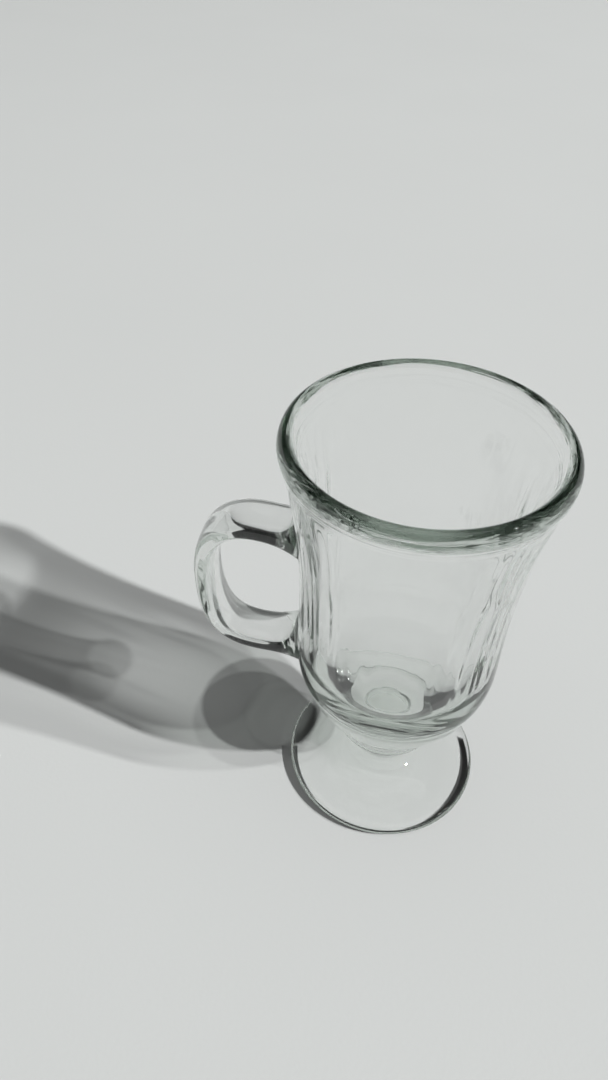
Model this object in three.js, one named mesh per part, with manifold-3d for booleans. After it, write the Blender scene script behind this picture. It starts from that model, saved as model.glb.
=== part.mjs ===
// A footed glass coffee mug: five pieces of clear glass, fused one on another while hot.
// Millimetres, +Z up. The origin is on the mug's axis, on the surface that it stands on, and the handle
// points along -X. From the bottom up: foot, stem, collar and bowl are turned shapes, each resting face to
// face on the one below, and the handle is a bent strap whose two ends spread onto the wall of the bowl.

import * as THREE from 'three';
import { mergeVertices } from 'three/addons/utils/BufferGeometryUtils.js';
import Module from 'manifold-3d';

// Foot
const footRadius = 33.4;
const footEdgeThickness = 4.4; // the rounded outer edge
const footEdgeReach = 3.3; // how far in from the edge the rounding goes
const footHeight = 8; // the seat of the stem
const footSweepReach = 3.6; // how far out from the stem the foot starts to rise
const footSweepDrop = 2.7; // how far the foot falls over that reach

// Stem
const stemHeight = 16.5;
const stemBaseRadius = 12.5; // also the seat on the foot
const stemWaistRadius = 8.6;
const stemTopRadius = 11;
const stemFlare = 4; // height over which each end spreads
const stemFlareEase = 2; // how sharply each end spreads

// Collar
const collarHeight = 3.5;
const collarRadius = 17.4;

// Bowl, with heights measured up from its underside
const bowlHeight = 118;
const bowlSeatRadius = collarRadius - collarHeight / 2; // the flat top of the collar
const bowlBaseRadius = 24.8; // the rounded base swells through this circle
const bowlBaseHeight = 11;
const bowlShoulderRadius = 32; // where the base has turned into the upright wall
const bowlShoulderHeight = 36;
const bowlShoulderEase = 12.4; // how softly the base turns upright
const bowlBodyRadius = 31.8; // where the body starts to flare
const bowlBodyHeight = 56;
const bowlFlareEase = 25; // how softly the flare starts
const rimRadius = 38.75;
const lipThickness = 4.8; // the lip is rounded to an oval
const lipHeight = 7.2;
const lipUndercut = THREE.MathUtils.degToRad(40); // how far it turns under on the outside
const flareLean = THREE.MathUtils.degToRad(14); // how far the wall leans out where it meets the lip
const lipEase = 12; // how softly the wall runs up to it
const bodyWall = 3.6;
const mouthLean = THREE.MathUtils.degToRad(24); // how far the inside leans out where it meets the lip
const mouthEase = 10; // how softly the inside runs up to it
const floorThickness = 18; // glass under the middle of the inside
const floorSpread = 16; // how far the inside floor stays nearly flat
const floorTurn = 23; // height over which the inside floor turns into the wall
const floorTurnEase = 6; // how softly it turns

// Handle, with heights measured up from the underside of the bowl
const handleReach = 61.5; // from the mug's axis to the strap's middle at its furthest
const handleReachHeight = 60;
const handleThickness = 6.4;
const handleWidth = 15;
const strapSquareness = 3; // 2 is an oval section, and more is squarer
const upperJoinHeight = 77.5;
const upperBowOut = 13.7; // how far the upper arm runs out before it bends down
const upperBowHeight = 83;
const upperBendDrop = 23.5; // length of the upper bend
const lowerJoinHeight = 33;
const lowerBowOut = 19.2; // how far the lower arm runs out before it bends up
const lowerBowHeight = 30.5;
const lowerBendRise = 28; // length of the lower bend
const joinThickness = 13; // the strap's ends, where they spread onto the wall
const joinWidth = 19;
const joinLength = 13; // how far from the wall the strap starts to spread
const joinSharpness = 3; // how late it spreads as it nears the wall
const handleRoot = 7; // length of each end that the wall trims off
const handleClearance = 0.3; // between the strap's trimmed ends and the wall

// Fineness of the facets
const turnSegments = 64;
const curveSteps = 8;
const lipSteps = 8;
const floorSteps = 7;
const edgeSteps = 6;
const strapSides = 20;
const bendSteps = 16;
const joinSteps = 7;

// Heights of the seats
const stemSeat = footHeight;
const collarSeat = stemSeat + stemHeight;
const bowlSeat = collarSeat + collarHeight;

const samePlace = 1e-6; // two points closer than this are one
const glassColour = 0xdde8e2;
const glassRoughness = 0.04;
const glassOpacity = 0.4;
const wasm = await Module();
wasm.setup();

function point(radius, height) {
  return new THREE.Vector2(radius, height);
}

function bend(start, leave, arrive, end, steps = curveSteps) {
  return new THREE.CubicBezierCurve(start, leave, arrive, end).getPoints(steps);
}

// Round edge in a profile: part of an oval about a middle point, from the underside round the outside
function arc(middle, halfWidth, halfHeight, from, to, steps) {
  return new THREE.EllipseCurve(middle.x, middle.y, halfWidth, halfHeight, from, to).getPoints(steps);
}

// The point that lies this far down a leaning wall from its top
function leaning(top, lean, distance) {
  return point(top.x - distance * Math.sin(lean), top.y - distance * Math.cos(lean));
}

function joinRuns(...runs) {
  const profile = [];
  for (const run of runs) {
    for (const next of run) {
      const last = profile[profile.length - 1];
      if (!last || last.distanceTo(next) > samePlace) profile.push(next);
    }
  }
  return profile;
}

// Turned shape from a profile of (radius, height) that runs up the outside and ends on the axis
function turned(profile) {
  return new THREE.LatheGeometry(profile, turnSegments).rotateX(Math.PI / 2);
}

function glassPiece(name, geometry, height = 0) {
  const material = new THREE.MeshStandardMaterial({
    color: glassColour,
    roughness: glassRoughness,
    metalness: 0,
    transparent: true,
    opacity: glassOpacity,
  });
  const piece = new THREE.Mesh(geometry, material);
  piece.name = name;
  piece.position.z = height;
  return piece;
}

function makeFoot() {
  const edge = footEdgeThickness / 2;
  const edgeMiddle = point(footRadius - footEdgeReach, edge);
  const edgeTop = point(edgeMiddle.x, footEdgeThickness);
  const seatEdge = point(stemBaseRadius, footHeight);
  const sweepStart = point(stemBaseRadius + footSweepReach, footHeight - footSweepDrop);
  const flatRun = point((edgeTop.x + sweepStart.x) / 2, footEdgeThickness);
  const profile = joinRuns(
    [point(0, 0)],
    arc(edgeMiddle, footEdgeReach, edge, -Math.PI / 2, Math.PI / 2, edgeSteps),
    bend(edgeTop, flatRun, sweepStart, seatEdge),
    [point(0, footHeight)],
  );
  return glassPiece('foot', turned(profile));
}

function makeStem() {
  const base = point(stemBaseRadius, 0);
  const top = point(stemTopRadius, stemHeight);
  const waist = point(stemWaistRadius, stemHeight / 2);
  const baseSpread = footSweepReach * (stemFlareEase / footSweepDrop); // runs on from the foot's sweep
  const profile = joinRuns(
    [point(0, 0)],
    bend(base, point(stemBaseRadius - baseSpread, stemFlareEase), point(waist.x, stemFlare), waist),
    bend(waist, point(waist.x, stemHeight - stemFlare), point(waist.x, stemHeight - stemFlareEase), top),
    [point(0, stemHeight)],
  );
  return glassPiece('stem', turned(profile), stemSeat);
}

function makeCollar() {
  const edge = collarHeight / 2;
  const edgeMiddle = point(collarRadius - edge, edge);
  const profile = joinRuns(
    [point(0, 0)],
    arc(edgeMiddle, edge, edge, -Math.PI / 2, Math.PI / 2, edgeSteps),
    [point(0, collarHeight)],
  );
  return glassPiece('stem_collar', turned(profile), collarSeat);
}

const lipHalfWidth = lipThickness / 2;
const lipHalfHeight = lipHeight / 2;
const lipMiddle = point(rimRadius - lipHalfWidth, bowlHeight - lipHalfHeight);

// Outside of the bowl, from its underside up to where the lip begins
function bowlOutside() {
  const seatEdge = point(bowlSeatRadius, 0);
  const shoulder = point(bowlShoulderRadius, bowlShoulderHeight);
  const body = point(bowlBodyRadius, bowlBodyHeight);
  const lipStart = point(
    lipMiddle.x + lipHalfWidth * Math.cos(lipUndercut),
    lipMiddle.y - lipHalfHeight * Math.sin(lipUndercut),
  );
  return joinRuns(
    bend(
      seatEdge,
      point(bowlBaseRadius, bowlBaseHeight),
      point(bowlShoulderRadius, bowlShoulderHeight - bowlShoulderEase),
      shoulder,
    ),
    bend(
      body,
      point(bowlBodyRadius, bowlBodyHeight + bowlFlareEase),
      leaning(lipStart, flareLean, lipEase),
      lipStart,
    ),
  );
}

function makeBowl() {
  const mouth = point(lipMiddle.x - lipHalfWidth, lipMiddle.y);
  const bodyInside = point(bowlBodyRadius - bodyWall, bowlBodyHeight);
  const shoulderInside = point(bowlShoulderRadius - bodyWall, floorThickness + floorTurn);
  const profile = joinRuns(
    [point(0, 0)],
    bowlOutside(),
    arc(lipMiddle, lipHalfWidth, lipHalfHeight, -lipUndercut, Math.PI, lipSteps),
    bend(
      mouth,
      leaning(mouth, mouthLean, mouthEase),
      point(bowlBodyRadius - bodyWall, bowlBodyHeight + bowlFlareEase),
      bodyInside,
    ),
    bend(
      shoulderInside,
      point(shoulderInside.x, floorThickness + floorTurnEase),
      point(floorSpread, floorThickness),
      point(0, floorThickness),
      floorSteps,
    ),
  );
  return glassPiece('bowl', turned(profile), bowlSeat);
}

// Middle line of the strap, in the plane of the handle, from the upper root to the lower root
function handlePath() {
  const at = (radius, height) => new THREE.Vector3(-radius, 0, height);
  const wall = bowlBodyRadius;
  const upperJoin = at(wall, upperJoinHeight);
  const upperBow = at(wall + upperBowOut, upperBowHeight);
  const furthest = at(handleReach, handleReachHeight);
  const lowerBow = at(wall + lowerBowOut, lowerBowHeight);
  const lowerJoin = at(wall, lowerJoinHeight);
  const upperRoot = upperJoin.clone().addScaledVector(upperBow.clone().sub(upperJoin).normalize(), -handleRoot);
  const lowerRoot = lowerJoin.clone().addScaledVector(lowerBow.clone().sub(lowerJoin).normalize(), -handleRoot);
  return [
    new THREE.LineCurve3(upperRoot, upperJoin),
    new THREE.CubicBezierCurve3(
      upperJoin,
      upperBow,
      at(handleReach, handleReachHeight + upperBendDrop),
      furthest,
    ),
    new THREE.CubicBezierCurve3(
      furthest,
      at(handleReach, handleReachHeight - lowerBendRise),
      lowerBow,
      lowerJoin,
    ),
    new THREE.LineCurve3(lowerJoin, lowerRoot),
  ];
}

// Stops along the strap: place, direction, and how much of the spread at the wall it has
function strapStops() {
  const [upperRoot, upperBend, lowerBend, lowerRoot] = handlePath();
  const stops = [];
  const add = (curve, share, spread) => {
    stops.push({ place: curve.getPointAt(share), along: curve.getTangentAt(share), spread });
  };
  const spreadAt = (distance) => Math.max(0, 1 - distance / joinLength) ** joinSharpness;
  add(upperRoot, 0, 1);
  for (const [curve, fromStart] of [[upperBend, true], [lowerBend, false]]) {
    const length = curve.getLength();
    const joinShare = joinLength / length;
    const shares = [];
    for (let i = 0; i < joinSteps; i += 1) shares.push((joinShare * i) / joinSteps);
    for (let i = 0; i <= bendSteps; i += 1) shares.push(joinShare + ((1 - joinShare) * i) / bendSteps);
    const ordered = fromStart ? shares : shares.map((share) => 1 - share).reverse().slice(1);
    for (const share of ordered) {
      const distance = (fromStart ? share : 1 - share) * length;
      add(curve, share, spreadAt(distance));
    }
  }
  add(lowerRoot, 1, 1);
  return stops;
}

// Strap of rounded section through the stops, an oval at the wall, closed at both roots
function strapGeometry() {
  const stops = strapStops();
  const across = new THREE.Vector3(0, 1, 0);
  const places = [];
  for (const { place, along, spread } of stops) {
    const upright = new THREE.Vector3().crossVectors(along, across);
    const halfThickness = THREE.MathUtils.lerp(handleThickness, joinThickness, spread) / 2;
    const halfWidth = THREE.MathUtils.lerp(handleWidth, joinWidth, spread) / 2;
    const power = THREE.MathUtils.lerp(2 / strapSquareness, 1, spread);
    const squared = (share) => Math.sign(share) * Math.abs(share) ** power;
    for (let side = 0; side < strapSides; side += 1) {
      const angle = (2 * Math.PI * side) / strapSides;
      const corner = place.clone();
      corner.addScaledVector(upright, halfThickness * squared(Math.cos(angle)));
      corner.addScaledVector(across, halfWidth * squared(Math.sin(angle)));
      places.push(corner);
    }
  }
  const faces = [];
  for (let stop = 0; stop + 1 < stops.length; stop += 1) {
    for (let side = 0; side < strapSides; side += 1) {
      const a = stop * strapSides + side;
      const b = stop * strapSides + ((side + 1) % strapSides);
      faces.push(a, a + strapSides, b, b, a + strapSides, b + strapSides);
    }
  }
  const lastRing = (stops.length - 1) * strapSides;
  for (let side = 1; side + 1 < strapSides; side += 1) {
    faces.push(0, side, side + 1);
    faces.push(lastRing, lastRing + side + 1, lastRing + side);
  }
  const geometry = new THREE.BufferGeometry().setFromPoints(places);
  geometry.setIndex(faces);
  return geometry;
}

function solidFrom(geometry) {
  geometry.deleteAttribute('normal');
  geometry.deleteAttribute('uv');
  const merged = mergeVertices(geometry);
  const corners = merged.index.array;
  const kept = [];
  for (let i = 0; i < corners.length; i += 3) {
    const [a, b, c] = corners.slice(i, i + 3);
    if (a !== b && b !== c && c !== a) kept.push(a, b, c);
  }
  const mesh = new wasm.Mesh({
    numProp: 3,
    vertProperties: new Float32Array(merged.attributes.position.array),
    triVerts: new Uint32Array(kept),
  });
  return new wasm.Manifold(mesh);
}

function geometryFrom(solid) {
  const mesh = solid.getMesh();
  const geometry = new THREE.BufferGeometry();
  geometry.setAttribute('position', new THREE.BufferAttribute(mesh.vertProperties, 3));
  geometry.setIndex(new THREE.BufferAttribute(mesh.triVerts, 1));
  geometry.computeVertexNormals();
  return geometry;
}

// The strap, trimmed so that its two ends follow the round wall of the bowl
function makeHandle() {
  const wallLine = bowlOutside().map((spot) => point(spot.x + handleClearance, spot.y));
  const wallTop = wallLine[wallLine.length - 1];
  const wallBlock = turned(joinRuns([point(0, 0)], wallLine, [point(0, wallTop.y)]));
  const trimmed = solidFrom(strapGeometry()).subtract(solidFrom(wallBlock));
  return glassPiece('handle', geometryFrom(trimmed), bowlSeat);
}

const mug = new THREE.Group();
mug.name = 'glass_mug';
mug.add(makeFoot(), makeStem(), makeCollar(), makeBowl(), makeHandle());

export default mug;
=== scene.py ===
import math

import bpy
from mathutils import Matrix, Vector


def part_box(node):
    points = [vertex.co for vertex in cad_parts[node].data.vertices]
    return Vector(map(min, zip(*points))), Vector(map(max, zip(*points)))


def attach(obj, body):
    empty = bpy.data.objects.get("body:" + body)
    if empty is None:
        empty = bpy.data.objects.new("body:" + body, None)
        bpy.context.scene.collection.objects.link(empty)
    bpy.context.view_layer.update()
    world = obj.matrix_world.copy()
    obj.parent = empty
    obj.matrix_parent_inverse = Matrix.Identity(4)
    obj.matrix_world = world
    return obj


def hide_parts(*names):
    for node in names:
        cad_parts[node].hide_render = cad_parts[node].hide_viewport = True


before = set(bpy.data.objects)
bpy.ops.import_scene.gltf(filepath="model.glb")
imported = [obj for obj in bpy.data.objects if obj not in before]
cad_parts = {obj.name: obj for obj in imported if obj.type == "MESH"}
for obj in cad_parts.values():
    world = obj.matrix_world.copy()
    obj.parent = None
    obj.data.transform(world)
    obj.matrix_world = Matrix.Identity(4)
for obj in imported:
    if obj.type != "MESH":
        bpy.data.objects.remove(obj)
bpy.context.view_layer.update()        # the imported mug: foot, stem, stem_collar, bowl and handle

scene = bpy.context.scene
fullTurn = 2 * math.pi
print("frame loaded:", sorted(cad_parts))


# node trees

def addNode(tree, kind, **settings):
    node = tree.nodes.new(kind)
    for name, value in settings.items():
        setattr(node, name, value)
    return node


def plug(tree, socket, value):
    if isinstance(value, bpy.types.NodeSocket):
        tree.links.new(value, socket)
    else:
        socket.default_value = value


def plugAll(tree, sockets, values):
    for socket, value in zip(sockets, values):
        plug(tree, socket, value)


def mathNode(tree, operation, *values):
    node = addNode(tree, "ShaderNodeMath", operation=operation)
    plugAll(tree, node.inputs, values)
    return node.outputs[0]


def vectorNode(tree, operation, *values):
    node = addNode(tree, "ShaderNodeVectorMath", operation=operation)
    plugAll(tree, node.inputs, values)
    return node.outputs["Value" if operation == "LENGTH" else "Vector"]


def scaleNode(tree, vector, factor):
    node = addNode(tree, "ShaderNodeVectorMath", operation="SCALE")
    plug(tree, node.inputs[0], vector)
    plug(tree, node.inputs["Scale"], factor)
    return node.outputs[0]


def combine(tree, x, y, z):
    node = addNode(tree, "ShaderNodeCombineXYZ")
    plugAll(tree, node.inputs, (x, y, z))
    return node.outputs[0]


def split(tree, vector):
    node = addNode(tree, "ShaderNodeSeparateXYZ")
    plug(tree, node.inputs[0], vector)
    return node.outputs


def axisDistance(tree, place):
    x, y, _ = split(tree, place)
    return vectorNode(tree, "LENGTH", combine(tree, x, y, 0))


noiseMiddle = 0.5


def noiseNode(tree, place, scale, detail=2.0):
    node = addNode(tree, "ShaderNodeTexNoise")
    plug(tree, node.inputs["Vector"], place)
    plug(tree, node.inputs["Scale"], scale)
    plug(tree, node.inputs["Detail"], detail)
    return node.outputs[0]


# Goes from the first value to the second as the factor goes from 0 to 1
def mixNode(tree, factor, first, second):
    node = addNode(tree, "ShaderNodeMix", data_type="FLOAT")
    plug(tree, node.inputs[0], factor)
    plug(tree, node.inputs[2], first)
    plug(tree, node.inputs[3], second)
    return node.outputs[0]


# Smooth rise of a value from 0 to 1 between two levels
def riseNode(tree, value, low, high):
    node = addNode(tree, "ShaderNodeMapRange", interpolation_type="SMOOTHSTEP")
    plugAll(tree, node.inputs, (value, low, high, 0.0, 1.0))
    return node.outputs[0]


def newTree(name, sizes):
    tree = bpy.data.node_groups.new(name, "GeometryNodeTree")
    tree.is_modifier = True
    tree.interface.new_socket(name="Geometry", in_out="INPUT", socket_type="NodeSocketGeometry")
    for label, kind in sizes.items():
        tree.interface.new_socket(name=label, in_out="INPUT", socket_type=f"NodeSocket{kind}")
    tree.interface.new_socket(name="Geometry", in_out="OUTPUT", socket_type="NodeSocketGeometry")
    return tree, addNode(tree, "NodeGroupInput").outputs


# Runs a tree on an object and keeps the result as a plain mesh of the given name
def meshFromTree(source, tree, values, name):
    modifier = source.modifiers.new(tree.name, "NODES")
    modifier.node_group = tree
    for item in tree.interface.items_tree:
        if item.item_type == "SOCKET" and item.in_out == "INPUT" and item.name in values:
            modifier[item.identifier] = values[item.name]
    view = bpy.context.evaluated_depsgraph_get()
    mesh = bpy.data.meshes.new_from_object(source.evaluated_get(view), depsgraph=view)
    bpy.data.objects.remove(source)
    mesh.name = name
    piece = bpy.data.objects.new(name, mesh)
    scene.collection.objects.link(piece)
    print(name, "made:", len(mesh.vertices), "vertices")
    return piece


meshLook = {
    "crease": math.radians(35),        # edges bent further than this stay sharp
    "mergeDistance": 1e-6,
}


def finishTree(tree, geometry, material):
    edges = addNode(tree, "GeometryNodeInputMeshEdgeAngle").outputs["Unsigned Angle"]
    crease = mathNode(tree, "GREATER_THAN", edges, meshLook["crease"])
    smooth = addNode(tree, "GeometryNodeSetShadeSmooth", domain="FACE")
    plug(tree, smooth.inputs["Geometry"], geometry)
    sharp = addNode(tree, "GeometryNodeSetShadeSmooth", domain="EDGE")
    plug(tree, sharp.inputs["Geometry"], smooth.outputs[0])
    plug(tree, sharp.inputs["Selection"], crease)
    sharp.inputs["Shade Smooth"].default_value = False
    real = addNode(tree, "GeometryNodeRealizeInstances")
    plug(tree, real.inputs["Geometry"], sharp.outputs[0])
    finish = addNode(tree, "GeometryNodeSetMaterial")
    plug(tree, finish.inputs["Geometry"], real.outputs[0])
    plug(tree, finish.inputs["Material"], material)
    plug(tree, addNode(tree, "NodeGroupOutput").inputs[0], finish.outputs[0])


# Grid whose last column meets the first: its mesh, and the row and the angle round of each corner
def rolledGrid(tree, rows, turns):
    columns = mathNode(tree, "ADD", turns, 1)
    grid = addNode(tree, "GeometryNodeMeshGrid")
    plug(tree, grid.inputs["Vertices X"], rows)
    plug(tree, grid.inputs["Vertices Y"], columns)
    index = addNode(tree, "GeometryNodeInputIndex").outputs[0]
    halfOn = mathNode(tree, "ADD", index, 0.5)        # keeps the division clear of rounding
    row = mathNode(tree, "FLOOR", mathNode(tree, "DIVIDE", halfOn, columns))
    column = mathNode(tree, "SUBTRACT", index, mathNode(tree, "MULTIPLY", row, columns))
    share = mathNode(tree, "DIVIDE", column, turns)
    return grid.outputs["Mesh"], row, mathNode(tree, "MULTIPLY", share, fullTurn)


def placeAndClose(tree, grid, place, flip):
    moved = addNode(tree, "GeometryNodeSetPosition")
    plug(tree, moved.inputs["Geometry"], grid)
    plug(tree, moved.inputs["Position"], place)
    closed = addNode(tree, "GeometryNodeMergeByDistance")
    plug(tree, closed.inputs["Geometry"], moved.outputs[0])
    closed.inputs["Distance"].default_value = meshLook["mergeDistance"]
    if not flip:
        return closed.outputs[0]
    turned = addNode(tree, "GeometryNodeFlipFaces")
    plug(tree, turned.inputs["Mesh"], closed.outputs[0])
    return turned.outputs[0]


# turned glass: foot, stem, collar and bowl

def profileValue(tree, profile, kind, value, row):
    sample = addNode(tree, "GeometryNodeSampleIndex", data_type=kind, domain="POINT")
    plug(tree, sample.inputs["Geometry"], profile)
    plug(tree, sample.inputs["Value"], value)
    plug(tree, sample.inputs["Index"], row)
    return sample.outputs[0]


# Waves round the axis and up it, full at the left and right and less at the front and back
def waveSwell(tree, given, weight, across, deep, height):
    spread = mathNode(tree, "DIVIDE", given["Waves Round"], fullTurn)
    place = combine(
        tree,
        mathNode(tree, "MULTIPLY", across, spread),
        mathNode(tree, "MULTIPLY", deep, spread),
        mathNode(tree, "MULTIPLY", height, given["Waves Up"]),
    )
    noise = noiseNode(tree, place, 1.0, given["Wave Detail"])
    swell = mathNode(tree, "SUBTRACT", noise, noiseMiddle)
    sides = mathNode(tree, "MULTIPLY", across, across)
    sideGain = mixNode(tree, sides, given["Front Share"], 1.0)
    for factor in (weight, given["Wave Height"], sideGain):
        swell = mathNode(tree, "MULTIPLY", swell, factor)
    return swell


# A profile of (radius, 0, height) points turned about the upright axis, wavy where the profile says so
def makeTurnTree():
    tree, given = newTree("turnedGlass", {
        "Turns": "Int",
        "Wave Height": "Float",
        "Waves Round": "Float",
        "Waves Up": "Float",
        "Wave Detail": "Float",
        "Front Share": "Float",
        "Finish": "Material",
    })
    profile = given["Geometry"]
    count = addNode(tree, "GeometryNodeAttributeDomainSize", component="MESH")
    plug(tree, count.inputs[0], profile)
    grid, row, angle = rolledGrid(tree, count.outputs["Point Count"], given["Turns"])
    corner = addNode(tree, "GeometryNodeInputPosition").outputs[0]
    radius, _, height = split(tree, profileValue(tree, profile, "FLOAT_VECTOR", corner, row))
    stored = addNode(tree, "GeometryNodeInputNamedAttribute", data_type="FLOAT")
    stored.inputs["Name"].default_value = "wave"
    weight = profileValue(tree, profile, "FLOAT", stored.outputs["Attribute"], row)
    across = mathNode(tree, "COSINE", angle)
    deep = mathNode(tree, "SINE", angle)
    radius = mathNode(tree, "ADD", radius, waveSwell(tree, given, weight, across, deep, height))
    x = mathNode(tree, "MULTIPLY", radius, across)
    y = mathNode(tree, "MULTIPLY", radius, deep)
    closed = placeAndClose(tree, grid, combine(tree, x, y, height), flip=True)
    finishTree(tree, closed, given["Finish"])
    return tree


def bend(start, leave, arrive, end, steps=28):
    spots = []
    for step in range(steps + 1):
        t = step / steps
        u = 1 - t
        spots.append(start * u**3 + leave * (3 * u * u * t) + arrive * (3 * u * t * t) + end * t**3)
    return spots


# Part of an oval about a middle point
def arc(middle, halfWidth, halfHeight, fromAngle, toAngle, steps=18):
    spots = []
    for step in range(steps + 1):
        angle = fromAngle + (toAngle - fromAngle) * step / steps
        spots.append(middle + Vector((halfWidth * math.cos(angle), halfHeight * math.sin(angle))))
    return spots


# Cuts a straight run of a profile into short steps
def straight(start, end, steps=10):
    return [start.lerp(end, step / steps) for step in range(steps + 1)]


# How wavy a spot of the profile is: the inside wall is, and the outside, the lip and the floor are smooth
def waveShare(waves, runNumber, spot):
    if runNumber < waves["insideRun"]:
        return 0.0
    underLip = (bowlHeight - waves["lipClear"] - spot.y) / waves["lipFade"]
    overFloor = (spot.y - waves["floorClear"]) / waves["floorFade"]
    return min(max(min(underLip, overFloor), 0), 1)


def turnProfile(name, runs, seat, tree, material, waves=None, turns=192):
    sameSpot = 1e-7
    spots = []
    shares = []
    for runNumber, run in enumerate(runs):
        for spot in run:
            if spots and (spot - spots[-1]).length < sameSpot:
                continue
            spots.append(spot)
            shares.append(waveShare(waves, runNumber, spot) if waves else 0.0)
    line = bpy.data.meshes.new(name + "Profile")
    corners = [(spot.x, 0, spot.y + seat) for spot in spots]
    line.from_pydata(corners, [(i, i + 1) for i in range(len(corners) - 1)], [])
    line.attributes.new("wave", "FLOAT", "POINT").data.foreach_set("value", shares)
    source = bpy.data.objects.new(name + "Profile", line)
    scene.collection.objects.link(source)
    values = {"Turns": turns, "Finish": material}
    if waves:
        values |= {
            "Wave Height": waves["height"],
            "Waves Round": waves["round"],
            "Waves Up": waves["up"],
            "Wave Detail": waves["detail"],
            "Front Share": waves["front"],
        }
    return meshFromTree(source, tree, values, name)


# sizes from the frame

weldGap = 0.00002        # left between two fused faces, so that both are met in turn
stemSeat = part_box("stem")[0].z
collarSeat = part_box("stem_collar")[0].z
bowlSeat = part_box("bowl")[0].z
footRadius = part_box("foot")[1].x
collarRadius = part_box("stem_collar")[1].x
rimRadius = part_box("bowl")[1].x
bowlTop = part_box("bowl")[1].z
bowlHeight = bowlTop - bowlSeat


# lamps: two from the right, a soft one overhead, and a pale wall under a dark ceiling

lightLook = {
    "elevation": math.radians(35.4),
    "bearings": (math.radians(-14.3), math.radians(-6)),
    "powers": (6050.0, 2600.0),
    "distance": 24.0,
    "size": 0.56,
    "overheadHeight": 4.0,
    "overheadSize": 4.0,
    "overheadPower": 22.0,
    "wall": (0.6, 0.615, 0.605, 1),
    "wallTop": math.radians(12),
    "wallFade": math.radians(3),
    "ceiling": (0.004, 0.004, 0.004, 1),
}


# How far towards the lamps, along x and y, a ray goes as it rises by one, at their mean bearing
def lampRun(look):
    weighed = [bearing * power for bearing, power in zip(look["bearings"], look["powers"])]
    bearing = sum(weighed) / sum(look["powers"])
    run = 1 / math.tan(look["elevation"])
    return run * math.cos(bearing), run * math.sin(bearing)


def makeLamps(look):
    flat = look["distance"] * math.cos(look["elevation"])
    up = look["distance"] * math.sin(look["elevation"])
    boxes = [(Vector((0, 0, look["overheadHeight"])), look["overheadSize"], look["overheadPower"])]
    for bearing, power in zip(look["bearings"], look["powers"]):
        place = Vector((flat * math.cos(bearing), flat * math.sin(bearing), up))
        boxes.append((place, look["size"], power))
    for number, (place, size, power) in enumerate(boxes):
        lamp = bpy.data.lights.new(f"softbox{number}", "AREA")
        lamp.shape = "DISK"
        lamp.size = size
        lamp.energy = power
        box = bpy.data.objects.new(lamp.name, lamp)
        box.location = place
        box.rotation_euler = (-place).to_track_quat("-Z", "Y").to_euler()
        scene.collection.objects.link(box)


# The wall is seen by every ray that leaves near the level, and by the camera's own rays above that too
def makeWorld(look):
    world = bpy.data.worlds.new("studio")
    world.use_nodes = True
    tree = world.node_tree
    upward = split(tree, addNode(tree, "ShaderNodeTexCoord").outputs["Generated"])[2]
    top = look["wallTop"]
    aboveWall = riseNode(tree, upward, math.sin(top), math.sin(top + look["wallFade"]))
    cameraRay = addNode(tree, "ShaderNodeLightPath").outputs["Is Camera Ray"]
    onWall = mathNode(tree, "MAXIMUM", mathNode(tree, "SUBTRACT", 1, aboveWall), cameraRay)
    seen = addNode(tree, "ShaderNodeMix", data_type="RGBA")
    plug(tree, seen.inputs[0], onWall)
    plug(tree, seen.inputs[6], look["ceiling"])
    plug(tree, seen.inputs[7], look["wall"])
    plug(tree, tree.nodes["Background"].inputs["Color"], seen.outputs[2])
    scene.world = world


# glass

glassLook = {
    "tint": (0.43, 0.53, 0.45, 1),
    "density": 11.0,
    "bend": 1.52,
    "straight": 1.0001,        # on a fused face, where light goes straight on
    "polish": 0.02,
    "smear": 0.015,
    "smearScale": 60.0,
    "smearDetail": 4.0,
    "smearLevels": (0.5, 0.9),
    "shadeTurn": 2.0,          # how late the shade of a face falls towards grazing
}

nearlyOne = 0.9999
seatSlack = 1.5 * weldGap        # a face this close to a seat lies on it


# Masks are 1 on the faces where a piece is fused to its neighbour
def discMask(tree, place, seat, radius):
    height = split(tree, place)[2]
    level = mathNode(tree, "COMPARE", height, seat, seatSlack)
    inside = mathNode(tree, "LESS_THAN", axisDistance(tree, place), radius)
    return mathNode(tree, "MULTIPLY", level, inside)


def ovalMask(tree, place, middle, halfHeight, halfWidth, outside):
    x, y, z = split(tree, place)
    up = mathNode(tree, "DIVIDE", mathNode(tree, "SUBTRACT", z, middle), halfHeight)
    offset = combine(tree, 0, mathNode(tree, "DIVIDE", y, halfWidth), up)
    inside = mathNode(tree, "LESS_THAN", vectorNode(tree, "LENGTH", offset), 1)
    return mathNode(tree, "MULTIPLY", inside, mathNode(tree, "LESS_THAN", x, -outside))


def capMask(tree):
    cap = addNode(tree, "ShaderNodeAttribute", attribute_name="capShare")
    return mathNode(tree, "LESS_THAN", cap.outputs["Fac"], nearlyOne)


def fusedMask(tree, place, discs, ovals, caps):
    masks = [discMask(tree, place, *disc) for disc in discs]
    masks += [ovalMask(tree, place, *oval) for oval in ovals]
    if caps:
        masks.append(capMask(tree))
    fused = masks[0]
    for mask in masks[1:]:
        fused = mathNode(tree, "MAXIMUM", fused, mask)
    return fused


# Waves that hot shaping leaves, so many round the axis and drawn out along the other way
def streaks(tree, place, roundCount, alongPlace):
    x, y, _ = split(tree, place)
    away = vectorNode(tree, "NORMALIZE", combine(tree, x, y, 0))
    turned = scaleNode(tree, away, roundCount / fullTurn)
    return noiseNode(tree, vectorNode(tree, "ADD", turned, combine(tree, 0, 0, alongPlace)), 1.0)


def plainSurface(tree, place, finish, fused):
    height = split(tree, place)[2]
    return streaks(tree, place, finish["round"], mathNode(tree, "MULTIPLY", height, finish["up"]))


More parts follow.
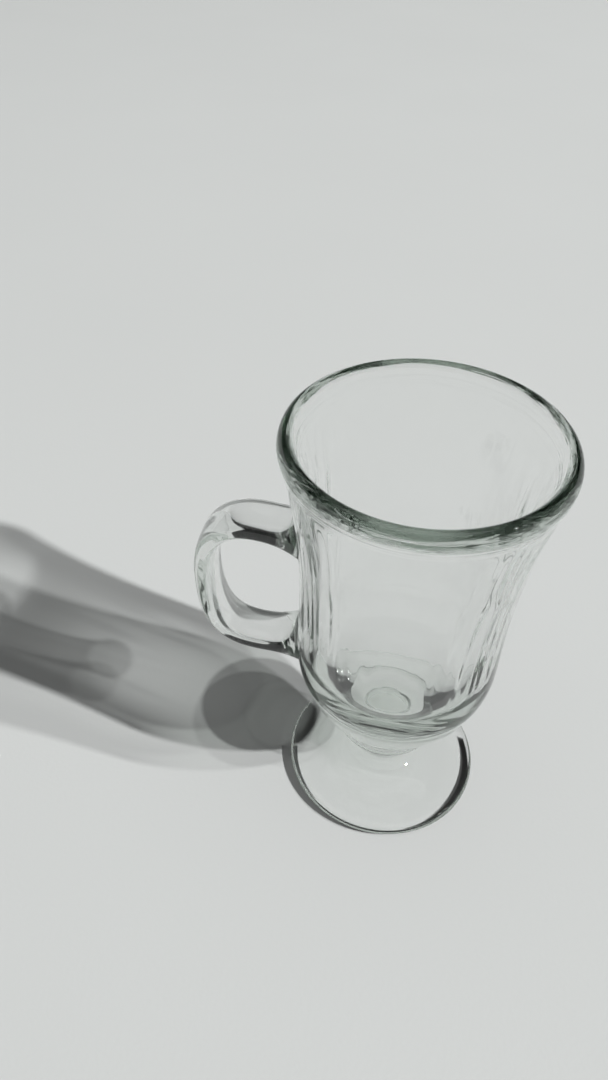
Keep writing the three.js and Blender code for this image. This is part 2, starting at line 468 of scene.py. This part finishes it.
# What a lamp's ray keeps at a face: less towards grazing, and all of it on a fused face
def faceShade(tree, look, finish, edge, fused):
    facing = addNode(tree, "ShaderNodeLayerWeight").outputs["Facing"]
    grazing = mathNode(tree, "POWER", facing, look["shadeTurn"])
    return mathNode(tree, "MAXIMUM", mixNode(tree, grazing, finish["faceShade"], edge), fused)


def dimWhere(tree, shade, mask, kept):
    return mathNode(tree, "MULTIPLY", shade, mixNode(tree, mask, 1.0, kept))


def plainShade(tree, place, look, finish, fused):
    return faceShade(tree, look, finish, finish["edgeShade"], fused)


# Clear glass with a fine uneven surface and faint smears, which bends light except on fused faces
def glassBody(tree, place, look, finish, fused, surface):
    body = addNode(tree, "ShaderNodeBsdfPrincipled")
    body.inputs["Base Color"].default_value = (1, 1, 1, 1)
    body.inputs["Transmission Weight"].default_value = 1
    patches = noiseNode(tree, place, look["smearScale"], look["smearDetail"])
    smear = riseNode(tree, patches, *look["smearLevels"])
    rough = mathNode(tree, "MULTIPLY_ADD", smear, look["smear"], look["polish"])
    plug(tree, body.inputs["Roughness"], rough)
    bump = addNode(tree, "ShaderNodeBump")
    bump.inputs["Distance"].default_value = finish["depth"]
    plug(tree, bump.inputs["Height"], surface(tree, place, finish, fused))
    plug(tree, body.inputs["Normal"], bump.outputs[0])
    bendHere = finish.get("bend", look["bend"])
    body.inputs["IOR"].default_value = bendHere
    plug(tree, body.inputs["IOR"], mixNode(tree, fused, bendHere, finish.get("seatBend", look["straight"])))
    return body


# surface and shade: how the piece's waves and its shadow are worked out
def makeGlass(name, finish, discs=(), ovals=(), caps=False, surface=plainSurface, shade=plainShade):
    look = glassLook
    material = bpy.data.materials.new(name)
    material.use_nodes = True
    tree = material.node_tree
    tree.nodes.clear()
    place = addNode(tree, "ShaderNodeTexCoord").outputs["Object"]
    fused = fusedMask(tree, place, discs, ovals, caps)
    body = glassBody(tree, place, look, finish, fused, surface)
    # For shadow rays the glass is a Transparent shader coloured by the shade: a painted shadow on the floor
    # in place of bent light
    lamp = addNode(tree, "ShaderNodeBsdfTransparent")
    plug(tree, lamp.inputs["Color"], shade(tree, place, look, finish, fused))
    mix = addNode(tree, "ShaderNodeMixShader")
    plug(tree, mix.inputs[0], addNode(tree, "ShaderNodeLightPath").outputs["Is Shadow Ray"])
    plug(tree, mix.inputs[1], body.outputs[0])
    plug(tree, mix.inputs[2], lamp.outputs[0])
    depth = addNode(tree, "ShaderNodeVolumeAbsorption")
    depth.inputs["Color"].default_value = look["tint"]
    depth.inputs["Density"].default_value = look["density"]
    result = addNode(tree, "ShaderNodeOutputMaterial")
    plug(tree, result.inputs["Surface"], mix.outputs[0])
    plug(tree, result.inputs["Volume"], depth.outputs[0])
    return material


# In each finish, faceShade and edgeShade are the painted shade of a face, what a lamp's ray keeps at a face
# met squarely and at grazing (above 1, painted light), and round, up and depth give the waves of the
# surface: how many round, how many up a metre, how deep

# foot

footShape = {
    "edgeThickness": 0.0044,
    "edgeReach": 0.0033,
    "sweepReach": 0.0036,
    "sweepDrop": 0.0027,
}

footFinish = {
    # faceShade above 1 passes more lamp light than reaches the foot: painted light on the floor under the
    # foot, in place of the light the glass gathers there
    "faceShade": 1.1,
    "edgeShade": 1.0,
    "round": 6.0,
    "up": 60.0,
    "depth": 0.00002,
    "rimShade": 0.12,
    "rimRise": 0.6,         # shares of the edge's thickness and reach
    "rimReach": 0.9,
    "rimSlant": 0.25,       # the shaded part of the rim ends at a slanting line
    "rimBack": 0.003,
}


def footRuns(shape, stem):
    edge = shape["edgeThickness"] / 2
    height = stemSeat
    middle = Vector((footRadius - shape["edgeReach"], edge))
    edgeTop = Vector((middle.x, shape["edgeThickness"]))
    seatEdge = Vector((stem["baseRadius"], height - weldGap))
    sweepStart = Vector((stem["baseRadius"] + shape["sweepReach"], height - shape["sweepDrop"]))
    flatRun = Vector(((edgeTop.x + sweepStart.x) / 2, shape["edgeThickness"]))
    return [
        straight(Vector((0, 0)), Vector((middle.x, 0))),
        arc(middle, shape["edgeReach"], edge, -math.pi / 2, math.pi / 2),
        bend(edgeTop, flatRun, sweepStart, seatEdge),
        straight(seatEdge, Vector((0, seatEdge.y))),
    ]


# Painted shadow under the rounded edge: lamp rays through its underside keep little, so the floor there is
# dark, except at the back, which is lit through the bowl
def footShade(tree, place, look, finish, fused):
    x, y, height = split(tree, place)
    low = mathNode(tree, "LESS_THAN", height, finish["rimRise"] * footShape["edgeThickness"])
    rimStart = footRadius - finish["rimReach"] * footShape["edgeReach"]
    wide = mathNode(tree, "GREATER_THAN", axisDistance(tree, place), rimStart)
    backLine = mathNode(tree, "MULTIPLY_ADD", x, finish["rimSlant"], finish["rimBack"])
    front = mathNode(tree, "LESS_THAN", y, backLine)
    rim = mathNode(tree, "MULTIPLY", mathNode(tree, "MULTIPLY", low, front), wide)
    return dimWhere(tree, plainShade(tree, place, look, finish, fused), rim, finish["rimShade"])


# stem

stemShape = {
    "baseRadius": 0.0125,
    "waistRadius": 0.0086,
    "topRadius": 0.011,
    "flare": 0.004,
    "flareEase": 0.002,
}

stemFinish = {
    "faceShade": 1.0,
    "edgeShade": 0.9,
    "bend": 1.2,
    "round": 6.0,
    "up": 60.0,
    "depth": 0.00002,
}


def stemRuns(shape, foot):
    height = collarSeat - stemSeat
    ease = shape["flareEase"]
    base = Vector((shape["baseRadius"], 0))
    waist = Vector((shape["waistRadius"], height / 2))
    top = Vector((shape["topRadius"], height - weldGap))
    spread = foot["sweepReach"] * ease / foot["sweepDrop"]
    return [
        straight(Vector((0, 0)), base),
        bend(base, Vector((base.x - spread, ease)), Vector((waist.x, shape["flare"])), waist),
        bend(waist, Vector((waist.x, height - shape["flare"])), Vector((waist.x, height - ease)), top),
        straight(top, Vector((0, top.y))),
    ]


# collar

collarFinish = {
    "faceShade": 0.95,
    "edgeShade": 0.5,
    "round": 6.0,
    "up": 60.0,
    "depth": 0.00002,
}


def collarRuns(stem, bowl):
    height = bowlSeat - collarSeat - weldGap
    edge = height / 2
    flatRadius = bowl["seatRadius"]
    seat = Vector((stem["topRadius"], 0))
    return [
        straight(Vector((0, 0)), seat),
        straight(seat, Vector((flatRadius, 0))),
        arc(Vector((flatRadius, edge)), edge, edge, -math.pi / 2, math.pi / 2),
        straight(Vector((flatRadius, height)), Vector((0, height))),
    ]


# bowl

bowlShape = {
    "seatRadius": collarRadius - (bowlSeat - collarSeat) / 2,        # the flat top of the collar
    "baseRadius": 0.0248,
    "baseHeight": 0.011,
    "shoulderRadius": 0.032,
    "shoulderHeight": 0.036,
    "shoulderEase": 0.0124,
    "bodyRadius": 0.0318,
    "bodyHeight": 0.056,
    "flareEase": 0.025,
    "lipThickness": 0.0048,
    "lipHeight": 0.0072,
    "lipUndercut": math.radians(40),
    "flareLean": math.radians(14),
    "lipEase": 0.012,
    "bodyWall": 0.0036,
    "mouthLean": math.radians(24),
    "mouthEase": 0.010,
    "floorThickness": 0.018,
    "floorSpread": 0.016,
    "floorTurn": 0.023,
    "floorTurnEase": 0.006,
    "turns": 288,
    "outside": 0.029,        # beyond this, a face by the handle's joins is on the outside
}

bowlWaves = {
    "height": 0.0045,
    "round": 40.0,
    "up": 20.0,
    "detail": 2.5,
    "front": 0.03,
    "insideRun": 5,          # the first run of the profile that lies inside
    "lipClear": 0.008,
    "lipFade": 0.02,
    "floorClear": 0.04,
    "floorFade": 0.015,
}

bowlFinish = {
    "faceShade": 0.89,
    "edgeShade": -0.8,                # below 0 counts as 0
    "lowEdgeShade": 0.7,
    "lowEdge": (0.026, 0.046),        # heights over the seat where the dark edge fades in
    "lipShade": 0.8,
    "lipBelow": (0.034, 0.014),       # depths under the rim where the dimmer flare fades in
    # discShade is a painted shadow disc, placed by a mask along the lamps' mean direction
    "discShade": 0.2,                 # the thick base throws a dark disc
    "discLevel": 0.0085,
    "discRadius": 0.0255,
    "round": 60.0,
    "up": 25.0,
    "depth": 0.00002,
    "lipStart": 0.0072,
    "lipBlend": 0.001,
    "lipRound": 9.0,
    "lipStreaks": 700.0,
    "lipGain": 9.0,
    "ringGap": 0.0052,
    "ringGain": 8.0,
    "seatBend": 1.15,
}


def bowlRuns(shape):
    lip = shape["lipThickness"] / 2
    lipRise = shape["lipHeight"] / 2
    under = shape["lipUndercut"]
    wall = shape["bodyWall"]
    fineSteps = 36
    lipMiddle = Vector((rimRadius - lip, bowlHeight - lipRise))
    beadStart = lipMiddle + Vector((lip * math.cos(under), -lipRise * math.sin(under)))
    along = Vector((math.sin(shape["flareLean"]), math.cos(shape["flareLean"])))
    seatEdge = Vector((shape["seatRadius"], 0))
    shoulder = Vector((shape["shoulderRadius"], shape["shoulderHeight"]))
    body = Vector((shape["bodyRadius"], shape["bodyHeight"]))
    flare = Vector((0, shape["flareEase"]))
    mouth = lipMiddle - Vector((lip, 0))
    inward = Vector((-math.sin(shape["mouthLean"]), -math.cos(shape["mouthLean"])))
    mouthLeave = mouth + inward * shape["mouthEase"]
    bodyInside = body - Vector((wall, 0))
    floor = Vector((0, shape["floorThickness"]))
    shoulderInside = Vector((shoulder.x - wall, floor.y + shape["floorTurn"]))
    return [
        straight(Vector((0, 0)), seatEdge),
        bend(
            seatEdge,
            Vector((shape["baseRadius"], shape["baseHeight"])),
            shoulder - Vector((0, shape["shoulderEase"])),
            shoulder,
        ),
        straight(shoulder, body),
        bend(body, body + flare, beadStart - along * shape["lipEase"], beadStart),
        arc(lipMiddle, lip, lipRise, -under, math.pi, fineSteps),
        bend(mouth, mouthLeave, bodyInside + flare, bodyInside),
        straight(bodyInside, shoulderInside),
        bend(
            shoulderInside,
            Vector((shoulderInside.x, floor.y + shape["floorTurnEase"])),
            floor + Vector((shape["floorSpread"], 0)),
            floor,
            fineSteps,
        ),
    ]


# Streaks up the wall, streaks along the lip, and faint rings pressed into the fused seat
def bowlSurface(tree, place, finish, fused):
    height = split(tree, place)[2]
    fromAxis = axisDistance(tree, place)
    lipPlace = mathNode(tree, "MULTIPLY", mathNode(tree, "ADD", height, fromAxis), finish["lipStreaks"])
    lipWaves = streaks(tree, place, finish["lipRound"], lipPlace)
    lipWaves = mathNode(tree, "MULTIPLY", lipWaves, finish["lipGain"])
    lipStart = bowlTop - finish["lipStart"]
    onLip = riseNode(tree, height, lipStart - finish["lipBlend"], lipStart)
    waves = mixNode(tree, onLip, plainSurface(tree, place, finish, fused), lipWaves)
    turns = mathNode(tree, "MULTIPLY", fromAxis, fullTurn / finish["ringGap"])
    rings = mathNode(tree, "MULTIPLY", mathNode(tree, "COSINE", turns), finish["ringGain"])
    return mathNode(tree, "MULTIPLY_ADD", rings, fused, waves)


# 1 on the low faces whose lamp rays cross a disc at one level of the thick base, where the base's painted
# shadow disc falls
def baseDisc(tree, place, finish):
    x, y, height = split(tree, place)
    runX, runY = lampRun(lightLook)
    drop = mathNode(tree, "SUBTRACT", bowlSeat + finish["discLevel"], height)
    backX = mathNode(tree, "MULTIPLY_ADD", drop, runX, x)
    backY = mathNode(tree, "MULTIPLY_ADD", drop, runY, y)
    fromAxis = vectorNode(tree, "LENGTH", combine(tree, backX, backY, 0))
    inside = mathNode(tree, "LESS_THAN", fromAxis, finish["discRadius"])
    return mathNode(tree, "MULTIPLY", inside, mathNode(tree, "GREATER_THAN", drop, 0))


# Painted shadow of the bowl: lamp rays keep little at grazing on the wall except low down, less through the
# flare, and the base throws a dark disc
def bowlShade(tree, place, look, finish, fused):
    height = split(tree, place)[2]
    lowTop, highStart = [bowlSeat + level for level in finish["lowEdge"]]
    high = riseNode(tree, height, lowTop, highStart)
    edge = mixNode(tree, high, finish["lowEdgeShade"], finish["edgeShade"])
    shade = faceShade(tree, look, finish, edge, fused)
    flareStart, flareEnd = [bowlTop - drop for drop in finish["lipBelow"]]
    shade = dimWhere(tree, shade, riseNode(tree, height, flareStart, flareEnd), finish["lipShade"])
    return dimWhere(tree, shade, baseDisc(tree, place, finish), finish["discShade"])


# handle

handleShape = {
    "reach": 0.0615,
    "reachHeight": 0.060,
    "thickness": 0.0064,
    "width": 0.015,
    "upperJoinHeight": 0.0775,
    "upperBowOut": 0.0137,
    "upperBowHeight": 0.083,
    "upperBendDrop": 0.0235,
    "lowerJoinHeight": 0.033,
    "lowerBowOut": 0.0192,
    "lowerBowHeight": 0.0305,
    "lowerBendRise": 0.028,
    "joinThickness": 0.0135,
    "joinWidth": 0.019,
    "joinLength": 0.013,
    "joinTurn": 3.0,          # how late the strap spreads towards the wall
    "squareness": 3.0,        # 2 is an oval section, and more is squarer
    "sides": 72,
    "strapRows": 180,
    "capRows": 6,
    "pathSteps": 64,
    "clearOf": 0.2,           # rays to the wall start this far out
}

handleFinish = {
    "faceShade": 0.5,
    "edgeShade": 0.1,
    "round": 8.0,
    "up": 90.0,
    "depth": 0.00003,
}


def handlePath(shape):
    wall = bowlShape["bodyRadius"]

    def at(radius, height):
        return Vector((-radius, 0, bowlSeat + height))

    furthest = at(shape["reach"], shape["reachHeight"])
    upperJoin = at(wall, shape["upperJoinHeight"])
    lowerJoin = at(wall, shape["lowerJoinHeight"])
    upperBow = at(wall + shape["upperBowOut"], shape["upperBowHeight"])
    lowerBow = at(wall + shape["lowerBowOut"], shape["lowerBowHeight"])
    upperBend = furthest + Vector((0, 0, shape["upperBendDrop"]))
    lowerBend = furthest - Vector((0, 0, shape["lowerBendRise"]))
    stops = [
        (upperJoin, 2 * upperJoin - upperBow, upperBow),
        (furthest, upperBend, lowerBend),
        (lowerJoin, lowerBow, 2 * lowerJoin - lowerBow),
    ]
    curve = bpy.data.curves.new("handlePath", "CURVE")
    curve.dimensions = "3D"
    curve.resolution_u = shape["pathSteps"]
    spline = curve.splines.new("BEZIER")
    spline.bezier_points.add(len(stops) - 1)
    for knot, (place, left, right) in zip(spline.bezier_points, stops):
        knot.handle_left_type = "FREE"
        knot.handle_right_type = "FREE"
        knot.co = place
        knot.handle_left = left
        knot.handle_right = right
    source = bpy.data.objects.new("handlePath", curve)
    scene.collection.objects.link(source)
    return source


# Where a ray along x, at this height and depth, meets the bowl's outside
def wallAt(tree, bowl, place):
    _, y, z = split(tree, place)
    info = addNode(tree, "GeometryNodeObjectInfo")
    plug(tree, info.inputs["Object"], bowl)
    ray = addNode(tree, "GeometryNodeRaycast")
    plug(tree, ray.inputs["Target Geometry"], info.outputs["Geometry"])
    plug(tree, ray.inputs["Source Position"], combine(tree, -handleShape["clearOf"], y, z))
    plug(tree, ray.inputs["Ray Direction"], (1, 0, 0))
    plug(tree, ray.inputs["Ray Length"], 1.0)
    return split(tree, ray.outputs["Hit Position"])[0]


# Rows of a cap grow from the middle of a join to its outline, and the rows between run along the strap
def strapRows(tree, given):
    caps = mathNode(tree, "MULTIPLY", given["Cap Rows"], 2)
    lastRow = mathNode(tree, "ADD", caps, given["Strap Rows"])
    grid, row, angle = rolledGrid(tree, mathNode(tree, "ADD", lastRow, 1), given["Sides"])
    fromEnd = mathNode(tree, "MINIMUM", row, mathNode(tree, "SUBTRACT", lastRow, row))
    grown = mathNode(tree, "MINIMUM", mathNode(tree, "DIVIDE", fromEnd, given["Cap Rows"]), 1.0)
    onStrap = mathNode(tree, "SUBTRACT", row, given["Cap Rows"])
    along = addNode(tree, "ShaderNodeClamp")
    plug(tree, along.inputs["Value"], mathNode(tree, "DIVIDE", onStrap, given["Strap Rows"]))
    return grid, angle, grown, along.outputs[0]


# 1 at the wall, falling to 0 where the strap has its own section
def joinNearness(tree, given, along):
    length = addNode(tree, "GeometryNodeCurveLength")
    plug(tree, length.inputs[0], given["Geometry"])
    nearEnd = mathNode(tree, "MINIMUM", along, mathNode(tree, "SUBTRACT", 1, along))
    away = mathNode(tree, "MULTIPLY", nearEnd, length.outputs[0])
    left = mathNode(tree, "SUBTRACT", 1, mathNode(tree, "DIVIDE", away, given["Join Length"]))
    return mathNode(tree, "MAXIMUM", left, 0)


# The section leans from the wall's own plane to square across the path
def sectionUpright(tree, tangent, along, lean):
    upper = mathNode(tree, "LESS_THAN", along, 0.5)
    outward = mathNode(tree, "SUBTRACT", 1, mathNode(tree, "MULTIPLY", upper, 2))
    way = addNode(tree, "ShaderNodeMix", data_type="VECTOR", factor_mode="UNIFORM")
    plug(tree, way.inputs[0], lean)
    plug(tree, way.inputs[4], tangent)
    plug(tree, way.inputs[5], combine(tree, outward, 0, 0))
    return vectorNode(tree, "NORMALIZE", vectorNode(tree, "CROSS_PRODUCT", way.outputs[1], (0, 1, 0)))


# A section between an oval and a rectangle, and an oval where it joins the wall: across and upright
def sectionCorner(tree, given, angle, grown, spread):
    power = mixNode(tree, spread, mathNode(tree, "DIVIDE", 2, given["Squareness"]), 1.0)

    def reach(size, joinSize, wave):
        half = mathNode(tree, "MULTIPLY", mixNode(tree, spread, given[size], given[joinSize]), 0.5)
        half = mathNode(tree, "MULTIPLY", half, grown)
        turned = mathNode(tree, wave, angle)
        squared = mathNode(tree, "POWER", mathNode(tree, "ABSOLUTE", turned), power)
        squared = mathNode(tree, "MULTIPLY", mathNode(tree, "SIGN", turned), squared)
        return mathNode(tree, "MULTIPLY", half, squared)

    return reach("Width", "Join Width", "SINE"), reach("Thickness", "Join Thickness", "COSINE")


# Near the wall the section takes the wall's round, and at the join it lies on the wall
def fitToWall(tree, given, middle, corner, near, lean):
    fitted = mathNode(tree, "SUBTRACT", wallAt(tree, given["Bowl"], corner), given["Weld Gap"])
    wallMiddle = wallAt(tree, given["Bowl"], combine(tree, 0, 0, split(tree, middle)[2]))
    shift = mathNode(tree, "SUBTRACT", fitted, wallMiddle)
    x, y, z = split(tree, corner)
    bent = mathNode(tree, "ADD", x, mathNode(tree, "MULTIPLY", shift, lean))
    onWall = mathNode(tree, "GREATER_THAN", near, nearlyOne)
    return combine(tree, mixNode(tree, onWall, bent, fitted), y, z)


# A strap along the path, whose two ends spread and lie on the wall of the bowl
def makeHandleTree():
    tree, given = newTree("strapHandle", {
        "Bowl": "Object",
        "Thickness": "Float",
        "Width": "Float",
        "Join Thickness": "Float",
        "Join Width": "Float",
        "Join Length": "Float",
        "Join Turn": "Float",
        "Squareness": "Float",
        "Weld Gap": "Float",
        "Sides": "Int",
        "Strap Rows": "Int",
        "Cap Rows": "Int",
        "Finish": "Material",
    })
    grid, angle, grown, along = strapRows(tree, given)
    sample = addNode(tree, "GeometryNodeSampleCurve", mode="FACTOR", use_all_curves=True)
    plug(tree, sample.inputs["Curves"], given["Geometry"])
    plug(tree, sample.inputs["Factor"], along)
    middle = sample.outputs["Position"]
    near = joinNearness(tree, given, along)
    spread = mathNode(tree, "POWER", near, given["Join Turn"])
    lean = riseNode(tree, near, 0.0, 1.0)
    upright = sectionUpright(tree, sample.outputs["Tangent"], along, lean)
    across, rise = sectionCorner(tree, given, angle, grown, spread)
    corner = vectorNode(tree, "ADD", middle, scaleNode(tree, upright, rise))
    corner = vectorNode(tree, "ADD", corner, combine(tree, 0, across, 0))
    place = fitToWall(tree, given, middle, corner, near, lean)
    marked = addNode(tree, "GeometryNodeStoreNamedAttribute", data_type="FLOAT", domain="POINT")
    plug(tree, marked.inputs["Geometry"], grid)
    plug(tree, marked.inputs["Name"], "capShare")
    plug(tree, marked.inputs["Value"], grown)
    closed = placeAndClose(tree, marked.outputs[0], place, flip=False)
    finishTree(tree, closed, given["Finish"])
    return tree


def makeHandle(shape, bowl, material):
    values = {
        "Bowl": bowl,
        "Thickness": shape["thickness"],
        "Width": shape["width"],
        "Join Thickness": shape["joinThickness"],
        "Join Width": shape["joinWidth"],
        "Join Length": shape["joinLength"],
        "Join Turn": shape["joinTurn"],
        "Squareness": shape["squareness"],
        "Weld Gap": weldGap,
        "Sides": shape["sides"],
        "Strap Rows": shape["strapRows"],
        "Cap Rows": shape["capRows"],
        "Finish": material,
    }
    return meshFromTree(handlePath(shape), makeHandleTree(), values, "handleStrap")


# the mug

rounding = 1e-6        # so that the rim of a fused face counts as inside
stemDisc = (stemSeat, stemShape["baseRadius"] + rounding)
collarDisc = (collarSeat, stemShape["topRadius"] + rounding)
bowlDisc = (bowlSeat, bowlShape["seatRadius"] + rounding)
joinOvals = []
for join in ("upperJoinHeight", "lowerJoinHeight"):
    halfHeight = handleShape["joinThickness"] / 2
    halfWidth = handleShape["joinWidth"] / 2
    joinOvals.append((bowlSeat + handleShape[join], halfHeight, halfWidth, bowlShape["outside"]))

turnTree = makeTurnTree()
footGlass = makeGlass("footGlass", footFinish, discs=[stemDisc], shade=footShade)
stemGlass = makeGlass("stemGlass", stemFinish, discs=[stemDisc, collarDisc])
collarGlass = makeGlass("collarGlass", collarFinish, discs=[collarDisc, bowlDisc])
bowlGlass = makeGlass("bowlGlass", bowlFinish, [bowlDisc], joinOvals, surface=bowlSurface, shade=bowlShade)
handleGlass = makeGlass("handleGlass", handleFinish, caps=True)

foot = turnProfile("footDisc", footRuns(footShape, stemShape), 0, turnTree, footGlass)
stem = turnProfile("stemColumn", stemRuns(stemShape, footShape), stemSeat, turnTree, stemGlass)
collar = turnProfile("collarRing", collarRuns(stemShape, bowlShape), collarSeat, turnTree, collarGlass)
bowlTurns = bowlShape["turns"]
bowl = turnProfile("bowlBell", bowlRuns(bowlShape), bowlSeat, turnTree, bowlGlass, bowlWaves, bowlTurns)
handle = makeHandle(handleShape, bowl, handleGlass)

standsFor = {foot: "foot", stem: "stem", collar: "stem_collar", bowl: "bowl", handle: "handle"}
for piece, node in standsFor.items():
    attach(piece, "root")
    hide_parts(node)
print("glass in place of:", sorted(standsFor.values()))


# stage

floorLook = {
    "size": 9.0,
    "drop": 0.0001,
    "colour": (0.62, 0.635, 0.625),
    "shadeShift": 0.03,
    "patchScale": 5.0,
    "patchDetail": 3.0,
    "shine": 0.05,
    "roughness": 0.85,
    "roughnessShift": 0.1,
    "grainScale": 700.0,
    "grainDepth": 0.00003,
}


# Matt pale board with faint patches and a fine grain
def floorFinish(look):
    material = bpy.data.materials.new("paleFloor")
    material.use_nodes = True
    tree = material.node_tree
    body = tree.nodes["Principled BSDF"]
    place = addNode(tree, "ShaderNodeTexCoord").outputs["Object"]
    patches = noiseNode(tree, place, look["patchScale"], look["patchDetail"])
    patches = mathNode(tree, "SUBTRACT", patches, noiseMiddle)
    shift = mathNode(tree, "MULTIPLY_ADD", patches, look["shadeShift"], 1.0)
    plug(tree, body.inputs["Base Color"], scaleNode(tree, look["colour"], shift))
    body.inputs["Specular IOR Level"].default_value = look["shine"]
    rough = mathNode(tree, "MULTIPLY_ADD", patches, look["roughnessShift"], look["roughness"])
    plug(tree, body.inputs["Roughness"], rough)
    grain = addNode(tree, "ShaderNodeBump")
    grain.inputs["Distance"].default_value = look["grainDepth"]
    plug(tree, grain.inputs["Height"], noiseNode(tree, place, look["grainScale"]))
    plug(tree, body.inputs["Normal"], grain.outputs[0])
    return material


def makeFloor(look):
    half = look["size"] / 2
    mesh = bpy.data.meshes.new("floor")
    corners = [(-half, -half), (half, -half), (half, half), (-half, half)]
    mesh.from_pydata([(x, y, -look["drop"]) for x, y in corners], [], [(0, 1, 2, 3)])
    mesh.materials.append(floorFinish(look))
    floor = bpy.data.objects.new("floor", mesh)
    scene.collection.objects.link(floor)


cameraView = {
    "place": (-0.00219, -0.17081, 0.2659),
    "pitch": math.radians(43.219),
    "heading": math.radians(11),
    "roll": math.radians(0.767),
    "sensor": 36.0,
    "lens": 26.97,
    "shiftX": 0.0128,
    "nearest": 0.01,
}


def makeCamera(view):
    eye = bpy.data.cameras.new("photoView")
    eye.sensor_width = view["sensor"]
    eye.lens = view["lens"]
    eye.shift_x = view["shiftX"]
    eye.clip_start = view["nearest"]
    camera = bpy.data.objects.new("photoView", eye)
    turn = Matrix.Rotation(view["heading"], 4, "Z")
    turn @= Matrix.Rotation(math.pi / 2 - view["pitch"], 4, "X")
    turn @= Matrix.Rotation(view["roll"], 4, "Z")
    camera.matrix_world = Matrix.Translation(view["place"]) @ turn
    scene.collection.objects.link(camera)
    scene.camera = camera


# Light crosses many faces of the glass, and the lamps reach the floor by the shades of the glass alone
def setLightPaths(bounces=128):
    cycles = scene.cycles
    cycles.max_bounces = bounces
    cycles.glossy_bounces = bounces
    cycles.transmission_bounces = bounces
    cycles.transparent_max_bounces = bounces
    cycles.caustics_reflective = False
    cycles.caustics_refractive = False


makeFloor(floorLook)
makeLamps(lightLook)
makeWorld(lightLook)
makeCamera(cameraView)
setLightPaths()
scene.view_settings.view_transform = "Standard"
print("stage, lamps and camera made")
